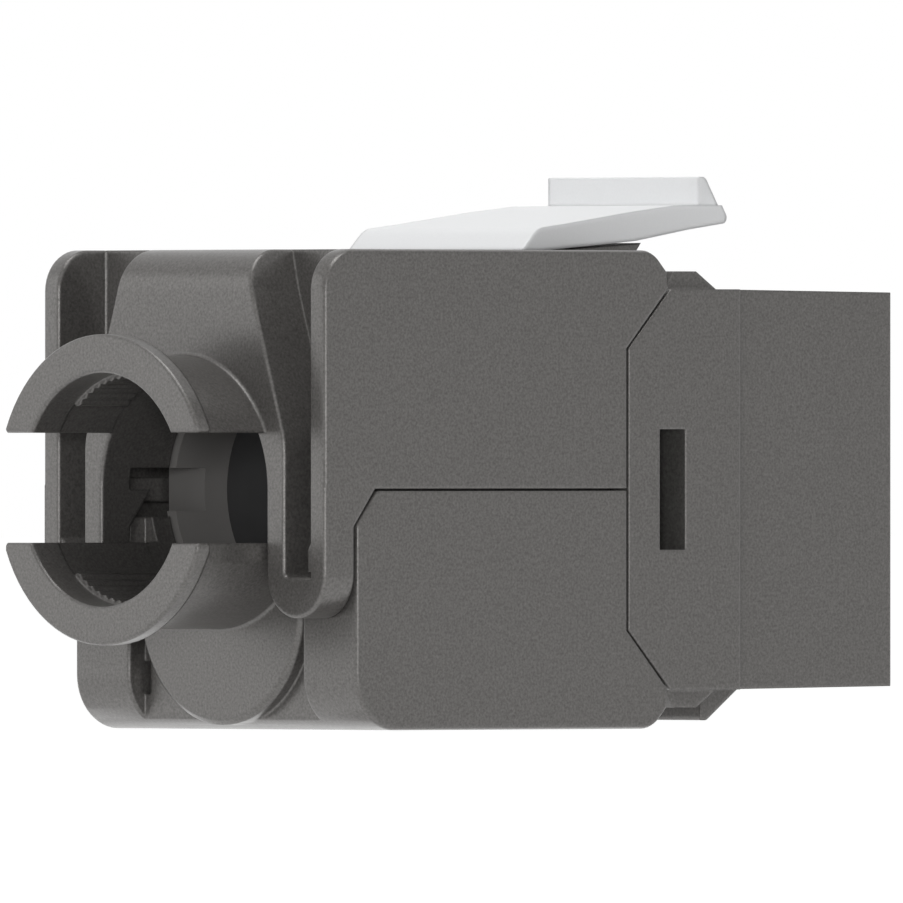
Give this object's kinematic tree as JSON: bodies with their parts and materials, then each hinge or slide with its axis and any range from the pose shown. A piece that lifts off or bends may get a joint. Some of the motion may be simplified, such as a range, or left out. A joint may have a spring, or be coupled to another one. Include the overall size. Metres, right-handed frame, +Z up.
{
  "type": "shielded keystone jack",
  "caption": "Shielded keystone network jack in dark cast metal, with hinged wiring wings, a half-ring cable collar and a white snap latch.",
  "frame": {"origin": "centre of the port's front face, on the axis of the cable collar", "axes": "+X out of the port, -X out of the cable collar, +Z up through the latch, Y across"},
  "size_m": [0.0371, 0.0168, 0.0225],
  "materials": {
    "cast_zinc": "satin grey cast zinc, fine grain",
    "white_plastic": "moulded, satin",
    "black_plastic": "moulded, satin",
    "steel_pin": "drawn",
    "board": "solder mask",
    "spring_bronze": "rolled spring strip",
    "gold_contact": "gold flash over bronze wire",
    "tinned_blade": "tinned bronze"
  },
  "bodies": {
    "housing": {"front_housing": "cast_zinc", "upper_hinge_pin": "steel_pin", "lower_hinge_pin": "steel_pin", "port_insert": "black_plastic", "circuit_board": "board", "terminal_block": "black_plastic", "wire_cap": "black_plastic", "inner_shield": "cast_zinc", "shield_spring_left": "spring_bronze", "shield_spring_right": "spring_bronze", "contact_1": "gold_contact", "contact_2": "gold_contact", "contact_3": "gold_contact", "contact_4": "gold_contact", "contact_5": "gold_contact", "contact_6": "gold_contact", "contact_7": "gold_contact", "contact_8": "gold_contact", "idc_blade_1": "tinned_blade", "idc_blade_2": "tinned_blade", "idc_blade_3": "tinned_blade", "idc_blade_4": "tinned_blade", "idc_blade_5": "tinned_blade", "idc_blade_6": "tinned_blade", "idc_blade_7": "tinned_blade", "idc_blade_8": "tinned_blade"},
    "upper_wing": {"upper_wing": "cast_zinc"},
    "lower_wing": {"lower_wing": "cast_zinc"},
    "latch": {"latch": "white_plastic"}
  },
  "joints": [
    {"name": "upper_wing_hinge", "type": "hinge", "parent": "housing", "child": "upper_wing", "pos_m": [-0.01194, 0, 0.00795], "axis": [0, 1, 0], "range_deg": [0, 60]},
    {"name": "lower_wing_hinge", "type": "hinge", "parent": "housing", "child": "lower_wing", "pos_m": [-0.01194, 0, -0.00795], "axis": [0, -1, 0], "range_deg": [0, 60]},
    {"name": "latch_flex", "type": "hinge", "parent": "housing", "child": "latch", "pos_m": [-0.01764, 0, 0.0097], "axis": [0, 1, 0], "range_deg": [0, 6], "stiffness_Nm_per_rad": 0.05}
  ],
  "couplings": [
    {"joint": "lower_wing_hinge", "follows": "upper_wing_hinge", "ratio": 1}
  ]
}
